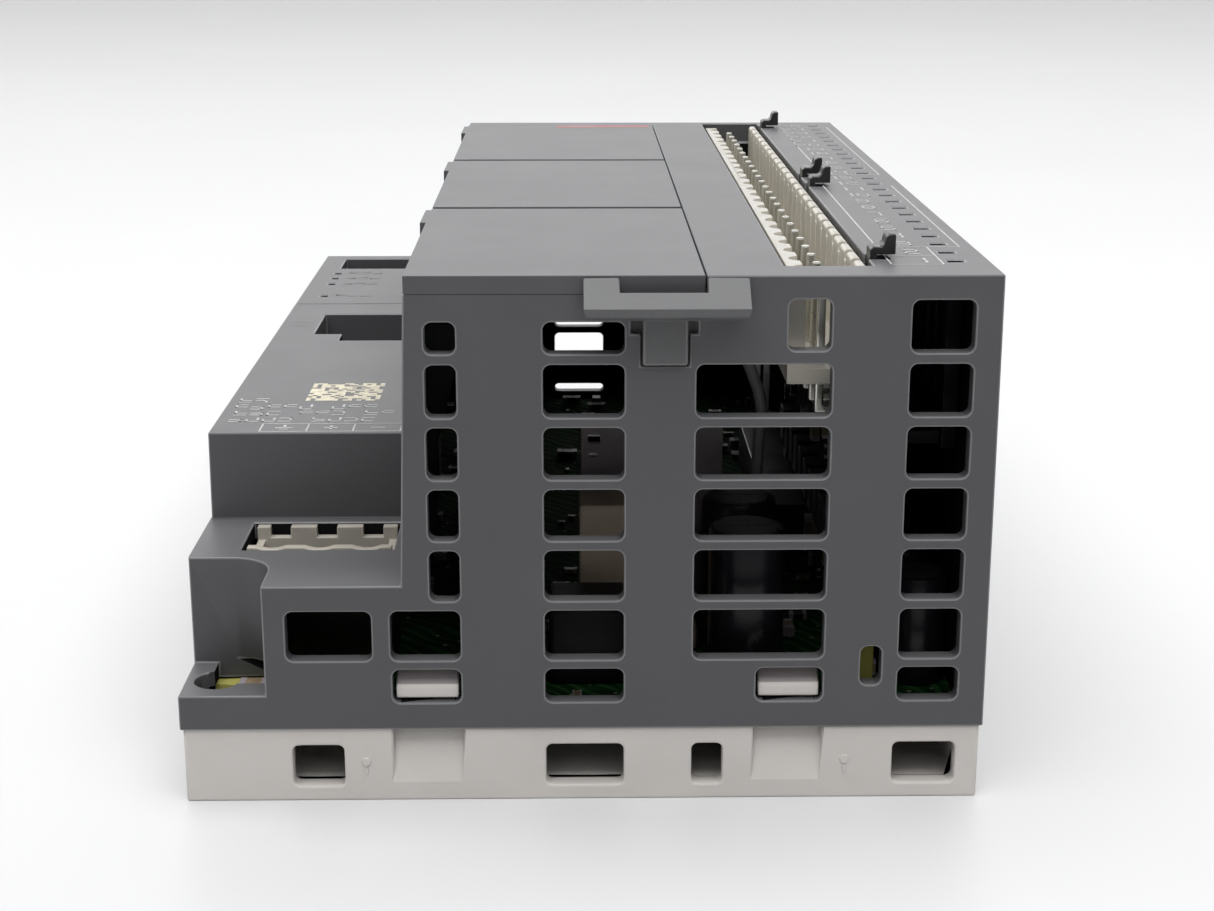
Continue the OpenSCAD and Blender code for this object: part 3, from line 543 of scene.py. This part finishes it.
class Solids:
    """Small boxes and cones gathered into one mesh, each with its own material."""

    def __init__(self):
        self.work = bmesh.new()

    def finish(self, made, matrix, mark):
        """Put a new solid in its place and give it its material."""
        verts = list(made["verts"])
        bmesh.ops.transform(self.work, matrix=matrix, verts=verts)
        for face in {f for v in verts for f in v.link_faces}:
            face.material_index = mark

    def box(self, low, high, mark=0):
        """A box between two opposite corners in millimetres."""
        low, high = at(*low), at(*high)
        size = high - low
        matrix = Matrix.Translation((low + high) / 2) @ Matrix.Diagonal((*size, 1))
        self.finish(bmesh.ops.create_cube(self.work, size=1), matrix, mark)

    def cone(self, base, axis, r0, r1, length, mark=0, sides=16):
        """A cone or disc whose base circle is centred at a point in millimetres."""
        turn = Vector(axis).to_track_quat("Z", "Y").to_matrix().to_4x4()
        place = Matrix.Translation(at(*base) + Vector(axis).normalized() * length * MM / 2)
        made = bmesh.ops.create_cone(
            self.work, cap_ends=True, segments=sides, radius1=r0 * MM, radius2=r1 * MM, depth=length * MM)
        self.finish(made, place @ turn, mark)

    def piece(self, name, materials, slot=None, body=ROOT):
        mesh = bpy.data.meshes.new(name)
        self.work.to_mesh(mesh)
        self.work.free()
        return new_piece(name, mesh, materials, body)


PART_SIZES = [(1.0, 0.5, 0.4), (1.6, 0.8, 0.5), (2.0, 1.25, 0.6), (2.0, 1.25, 0.9), (2.9, 1.6, 1.0)]
PART_CLEAR = 0.5
AXES = [Vector((1, 0, 0)), Vector((0, 1, 0)), Vector((0, 0, 1))]


def small_part(solids, base, up, along, size):
    """A chip part with a tinned cap on each end, lying on a board."""
    length, width, height = size
    across = up.cross(along)
    tone = rng.choice([0, 0, 1])
    for low, high, mark in [(-0.5, -0.28, 2), (-0.28, 0.28, tone), (0.28, 0.5, 2)]:
        grow = 0.03 if mark == 2 else 0.0
        a = base + along * low * length - across * (width / 2 + grow)
        b = base + along * high * length + across * (width / 2 + grow) + up * (height + grow)
        solids.box([min(p) for p in zip(a, b)], [max(p) for p in zip(a, b)], mark)


def scatter(solids, board, others, count, up, spot):
    """Parts at free spots of a board; spot() gives a point on its face in millimetres."""
    face = node_tree(board)
    trees = [node_tree(n) for n in others]
    taken = []
    tries = 0
    while len(taken) < count and tries < count * 30:
        tries += 1
        base = spot()
        size = rng.choice(PART_SIZES)
        reach = size[0] / 2 + PART_CLEAR
        if face.find_nearest(at(*base))[3] > 0.02 * MM:
            continue
        if any((base - p).length < reach + r for p, r in taken):
            continue
        probe = at(*(base + up * size[2] / 2))
        if any(tree.find_nearest(probe)[3] < reach * MM for tree in trees):
            continue
        flat = [axis for axis in AXES if abs(axis.dot(up)) < 0.5]
        small_part(solids, base, up, rng.choice(flat), size)
        taken.append((base, reach))


def loose_board_parts():
    """Small chip parts on the main board and on both faces of the upright board."""
    solids = Solids()
    neighbours = [n for n in frame["nodes"] if n not in ("main_board", "io_board", "din_latch_spring")]
    io_low, io_high = local_box("io_board")
    scatter(solids, "main_board", neighbours, 110, Vector((0, 0, 1)),
            lambda: Vector((rng.uniform(4, 79), rng.uniform(4, 131), BOARD_TOP)))
    scatter(solids, "io_board", neighbours, 90, Vector((1, 0, 0)),
            lambda: Vector((io_high.x, rng.uniform(4, 130), rng.uniform(12, 40))))
    scatter(solids, "io_board", neighbours, 90, Vector((-1, 0, 0)),
            lambda: Vector((io_low.x, rng.uniform(4, 130), rng.uniform(12, 40))))
    solids.piece("loose_board_parts", [EPOXY, CERAMIC, PLATE], "chip_epoxy")


def solder_joints():
    """A fillet round each post where it leaves the upright board."""
    solids = Solids()
    face_x = local_box("io_board")[1].x
    for k in range(POLES):
        solids.cone((face_x, FIRST_POLE + PITCH * k, POST_Z), (1, 0, 0), 1.1, 0.6, 0.7)
    solids.piece("solder_joints", TIN, "tin")


CAPACITORS = [(76.6, 9, 3.2), (76.6, 18, 3.2), (76.6, 27, 3.2), (58.6, 9, 4.0), (58.6, 20, 4.0)]
CAPACITOR_TOP = {3.2: 12.0, 4.0: 17.0}


def capacitor_tops():
    """The bare scored end of each capacitor can inside its sleeve, near-black with dark strips in the scores:
    painted shade.
    """
    solids = Solids()
    for x, y, r in CAPACITORS:
        z = BOARD_TOP + CAPACITOR_TOP[r]
        solids.cone((x, y, z), (0, 0, 1), r - 0.7, r - 0.8, 0.05, 0, 32)
        solids.box((x - r * 0.6, y - 0.08, z + 0.04), (x + r * 0.6, y + 0.08, z + 0.07), 1)
        solids.box((x - 0.08, y - r * 0.6, z + 0.04), (x + 0.08, y + r * 0.6, z + 0.07), 1)
    solids.piece("capacitor_tops", [CAN_TOP, EPOXY], "steel")


def tube(name, points, radius, material, smooth=False):
    """A round wire through points given in millimetres, as a mesh."""
    curve = bpy.data.curves.new(name + "_path", "CURVE")
    curve.dimensions = "3D"
    curve.bevel_depth = radius * MM
    curve.bevel_resolution = 3
    curve.use_fill_caps = True
    line = curve.splines.new("NURBS" if smooth else "POLY")
    line.points.add(len(points) - 1)
    for point, place in zip(line.points, points):
        point.co = (*at(*place), 1.0)
    if smooth:
        line.use_endpoint_u = True
        line.order_u = 3
    path = bpy.data.objects.new(name + "_path", curve)
    mesh = bpy.data.meshes.new_from_object(path)
    bpy.data.objects.remove(path)
    mesh.name = name
    mesh.materials.clear()
    obj = new_piece(name, mesh, material, ROOT)
    for face in mesh.polygons:
        face.use_smooth = True
    return obj


SPRING_TURNS = 8
SPRING_STEPS = 20
SPRING_WIRE = 0.3


def rail_spring():
    """The rail latch's coil spring, as a round wire at its rest length; nothing here shortens it as the latch
    is pulled out.
    """
    low, high = local_box("din_latch_spring")
    middle_x = (low.x + high.x) / 2
    middle_z = (low.z + high.z) / 2
    radius = (high.x - low.x) / 2 - SPRING_WIRE
    start = low.y + SPRING_WIRE
    rise = high.y - low.y - 2 * SPRING_WIRE
    count = SPRING_TURNS * SPRING_STEPS
    points = [
        (middle_x + radius * math.cos(2 * math.pi * k / SPRING_STEPS), start + rise * k / count,
         middle_z + radius * math.sin(2 * math.pi * k / SPRING_STEPS)) for k in range(count + 1)]
    spring = tube("rail_latch_coil", points, SPRING_WIRE, STEEL)
    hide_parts("din_latch_spring")
    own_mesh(spring)


def lead_wire():
    """The bare lead that leans behind the wide vents."""
    tube("bare_lead", [(59.9, 31.9, 40.6), (60.1, 31.9, 39.8), (62.4, 31.9, 34.0), (61.6, 31.9, 30.0),
                       (61.3, 31.9, BOARD_TOP)], 0.7, DULL_WIRE, smooth=True)


def base_marks():
    """Tiny raised moulding marks on the base plate's near face."""
    solids = Solids()
    face_y = local_box("base_plate")[0].y
    for x in (18.96, 68.3):
        solids.cone((x, face_y + 0.05, 4.3), (0, -1, 0), 0.5, 0.42, 0.2)
        solids.box((x - 0.12, face_y - 0.12, 2.9), (x + 0.12, face_y + 0.05, 3.6))
    solids.piece("base_marks", BASE, "base_grey")


loose_board_parts()
solder_joints()
capacitor_tops()
rail_spring()
lead_wire()
base_marks()


# ---- Printed marks ----

class Ink:
    """Flat printed shapes on a horizontal face, gathered into one piece."""

    def __init__(self, z):
        self.z = z + INK_LIFT
        self.verts = []
        self.faces = []

    def quad(self, corners):
        start = len(self.verts)
        self.verts.extend(at(x, y, self.z) for x, y in corners)
        self.faces.append(tuple(range(start, start + len(corners))))

    def bar(self, x0, x1, y0, y1):
        self.quad([(x0, y0), (x1, y0), (x1, y1), (x0, y1)])

    def piece(self, name, material, body=ROOT, slot=None):
        mesh = bpy.data.meshes.new(name)
        mesh.from_pydata(self.verts, [], self.faces)
        return new_piece(name, mesh, material, body)


LINE = 0.18


def frame_lines(ink, xs, ys):
    """A printed table from its vertical and horizontal line positions."""
    for x in xs:
        ink.bar(x - LINE / 2, x + LINE / 2, ys[0], ys[-1])
    for y in ys:
        ink.bar(xs[0], xs[-1], y - LINE / 2, y + LINE / 2)


GLYPH = [
    (0, 0, 1, 0), (0, 0.5, 1, 0.5), (0, 1, 1, 1),
    (0, 0, 0, 0.5), (0, 0.5, 0, 1), (1, 0, 1, 0.5), (1, 0.5, 1, 1)]
DIGITS = {
    "0": (0, 2, 3, 4, 5, 6), "1": (5, 6), "2": (0, 1, 2, 3, 6), "3": (0, 1, 2, 5, 6), "4": (1, 4, 5, 6),
    "5": (0, 1, 2, 4, 5), "6": (0, 1, 2, 3, 4, 5), "7": (2, 5, 6), "8": (0, 1, 2, 3, 4, 5, 6),
    "9": (0, 1, 2, 4, 5, 6)}


def strokes(ink, x, y, w, h, chosen, thick):
    """Strokes of a seven-part glyph whose lower left corner is at x, y."""
    for k in chosen:
        a, b, c, d = GLYPH[k]
        xs = sorted((x + a * w, x + c * w))
        ys = sorted((y + b * h, y + d * h))
        ink.bar(xs[0] - thick / 2, xs[1] + thick / 2, ys[0] - thick / 2, ys[1] + thick / 2)


def number(ink, text, x, y, w, h, thick):
    """Figures side by side, the first one's lower left corner at x, y."""
    for k, figure in enumerate(text):
        strokes(ink, x + k * w * 1.6, y, w, h, DIGITS[figure], thick)


DASHES = [(0, 2, 3), (0, 2, 6), (1, 2, 5), (0, 1, 4), (0, 1, 5), (1, 2, 4), (0, 3, 6)]
DASH_STEP = 1.86
DASH_W = 1.2


def dummy_line(ink, x0, x1, y0, y1, gaps=()):
    """A line of broken strokes that stands where a line of text is; it spells nothing."""
    x = x0 + 0.15
    while x + DASH_W < x1:
        if not any(low <= x <= high for low, high in gaps):
            strokes(ink, x, y0 + 0.3, DASH_W, y1 - y0 - 0.6, rng.choice(DASHES), 0.26)
        x += DASH_STEP


def stage_marks():
    """Marks on the low stage: four dummy lines, the supply table, an icon, status labels and a divider."""
    stage = Ink(STAGE_Z)
    dummy_line(stage, 1.4, 5.8, 36.4, 38.6)
    dummy_line(stage, 1.35, 17.9, 33.1, 35.7, [(10.6, 12.0)])
    dummy_line(stage, 1.7, 19.9, 30.4, 32.7, [(6.6, 8.2), (14.0, 15.2)])
    dummy_line(stage, 1.6, 18.1, 27.6, 29.6, [(8.2, 10.4)])
    frame_lines(stage, [5.75, 10.9, 16.05, 21.3], [23.45, 26.8])
    for x, y, w, h in [(8.3, 25.0, 2.0, 0.3), (8.3, 25.6, 0.3, 1.3), (8.3, 24.4, 1.0, 0.25),
                       (13.5, 25.1, 1.5, 0.3), (13.5, 25.1, 0.3, 1.5), (18.7, 25.1, 1.6, 0.3)]:
        stage.bar(x - w / 2, x + w / 2, y - h / 2, y + h / 2)
    stage.piece("stage_print", INK)
    faint = Ink(STAGE_Z)
    faint.bar(1.7, 4.4, 79.6, 80.8)
    faint.bar(1.7, 4.4, 82.2, 83.4)
    for y in (101.2, 110.6, 115.2, 119.3):
        dummy_line(faint, 5.4, 11.5, y - 0.9, y + 0.9)
    faint.piece("stage_faint_print", FAINT_INK)
    # The divider is a painted shadow line.
    divider_shadow = Ink(STAGE_Z)
    divider_shadow.bar(0.6, 23.2, 94.9, 95.1)
    divider_shadow.piece("stage_divider", SHADOW_INK)


CODE_CELLS = 16
CODE_X = (9.1, 17.7)
CODE_Y = (37.3, 45.9)


def cell_patch():
    """A square of random cells that holds no data."""
    code = Ink(STAGE_Z)
    cell_w = (CODE_X[1] - CODE_X[0]) / CODE_CELLS
    cell_l = (CODE_Y[1] - CODE_Y[0]) / CODE_CELLS
    for row in range(CODE_CELLS):
        for column in range(CODE_CELLS):
            if rng.random() < 0.66:
                x = CODE_X[0] + column * cell_w
                y = CODE_Y[0] + row * cell_l
                code.bar(x, x + cell_w, y, y + cell_l)
    code.piece("stage_cell_patch", CODE_INK)


def strip_marks():
    """Pole numbers and lines on the display strip."""
    strip = Ink(TOP_Z)
    cell_y = [FIRST_POLE + PITCH * (k - 0.5) + 0.45 for k in range(POLES + 1)]
    frame_lines(strip, [72.1, 77.3], cell_y[:3])
    for x in (72.1, 80.75):
        strip.bar(x - LINE / 2, x + LINE / 2, cell_y[2], cell_y[11])
    strip.bar(77.3, 80.75, cell_y[2] - LINE / 2, cell_y[2] + LINE / 2)
    frame_lines(strip, [73.4, 80.75], [cell_y[13], cell_y[24]])
    for k in range(POLES):
        label = str(k + 1)
        left = 74.6 if len(label) == 1 else 73.4
        number(strip, label, left, FIRST_POLE + PITCH * k - 1.0, 1.25, 2.3, 0.28)
    strip.piece("strip_print", INK)


def cover_bar():
    """The red bar at the far end of the last cover."""
    bar = Ink(TOP_Z)
    bar.bar(38.0, 52.6, 128.0, 130.3)
    bar.piece("cover_red_bar", RED_INK, body_of("option_cover_3"))


stage_marks()
cell_patch()
strip_marks()
cover_bar()


# ---- Floor, light and camera ----

def rotation_rows(pitch, yaw, roll):
    """The camera's right, down and forward directions."""
    base = Matrix(((1, 0, 0), (0, 0, -1), (0, 1, 0)))
    turn_yaw = Matrix(((math.cos(yaw), 0, math.sin(yaw)), (0, 1, 0), (-math.sin(yaw), 0, math.cos(yaw))))
    turn_pitch = Matrix((
        (1, 0, 0), (0, math.cos(pitch), -math.sin(pitch)), (0, math.sin(pitch), math.cos(pitch))))
    turn_roll = Matrix(((math.cos(roll), -math.sin(roll), 0), (math.sin(roll), math.cos(roll), 0), (0, 0, 1)))
    return turn_roll @ turn_pitch @ turn_yaw @ base


CAMERA_PLACE = (40.334, -188.739, 90.158)
CAMERA_TURN = (0.274, -0.018, 0.001)  # pitch, yaw and roll in radians
CAMERA_LENS = 58.877
SENSOR_WIDTH = 36
CLIP_START = 0.01


def add_camera():
    """The camera at the photographed angle."""
    rows = rotation_rows(*CAMERA_TURN)
    data = bpy.data.cameras.new("view")
    data.sensor_width = SENSOR_WIDTH
    data.lens = CAMERA_LENS
    data.clip_start = CLIP_START
    camera = bpy.data.objects.new("view", data)
    place = at(*CAMERA_PLACE)
    camera.matrix_world = Matrix((
        (rows[0][0], -rows[1][0], -rows[2][0], place.x),
        (rows[0][1], -rows[1][1], -rows[2][1], place.y),
        (rows[0][2], -rows[1][2], -rows[2][2], place.z),
        (0, 0, 0, 1)))
    bpy.context.scene.collection.objects.link(camera)
    bpy.context.scene.camera = camera


def add_floor(size):
    """A plain pale floor that reaches size metres each way."""
    mesh = bpy.data.meshes.new("floor")
    corners = [(-size, -size, 0), (size, -size, 0), (size, size, 0), (-size, size, 0)]
    mesh.from_pydata(corners, [], [(0, 1, 2, 3)])
    floor = bpy.data.objects.new("floor", mesh)
    bpy.context.scene.collection.objects.link(floor)
    paper = Finish("floor_paper", (0.58, 0.58, 0.585), rough=0.4, rough_spread=0.03, spread=0.01, mottle=7.0,
                   grain=900.0, grain_depth=0.002, speckle=0.0, specular=0.3)
    mesh.materials.append(paper.material)


def add_panel(name, radiance, size_x, size_y, place, target):
    """A soft rectangular light that faces a target."""
    data = bpy.data.lights.new(name, "AREA")
    data.shape = "RECTANGLE"
    data.size = size_x
    data.size_y = size_y
    data.energy = radiance * math.pi * size_x * size_y
    panel = bpy.data.objects.new(name, data)
    bpy.context.scene.collection.objects.link(panel)
    panel.location = place
    panel.rotation_euler = (Vector(target) - Vector(place)).to_track_quat("-Z", "Y").to_euler()


def add_world(colour, strength):
    """Even light from all round."""
    world = bpy.data.worlds.new("studio")
    world.use_nodes = True
    background = world.node_tree.nodes["Background"]
    background.inputs["Color"].default_value = (*colour, 1.0)
    background.inputs["Strength"].default_value = strength
    bpy.context.scene.world = world


PANELS = [
    # name, radiance, width, depth, place, target
    ("overhead", 3.6, 1.8, 1.6, (0.0, -0.25, 1.3), (0.0, -0.1, 0.0)),
    ("front_top", 1.1, 1.6, 0.9, (0.0, -1.1, 1.1), (0.0, 0.0, 0.0)),
    ("left_side", 0.3, 1.2, 0.9, (-1.5, -0.2, 0.6), (0.0, 0.0, 0.05)),
    ("backdrop", 1.8, 5.0, 1.6, (0.0, 3.2, 1.1), (0.0, 0.0, 0.1))]
WORLD_COLOUR = (0.97, 0.98, 1.0)
WORLD_STRENGTH = 0.2
FLOOR_REACH = 6.0

add_camera()
add_floor(FLOOR_REACH)
add_world(WORLD_COLOUR, WORLD_STRENGTH)
for name, radiance, width, depth, place, target in PANELS:
    add_panel(name, radiance, width, depth, place, target)
bpy.context.scene.view_settings.view_transform = "Standard"
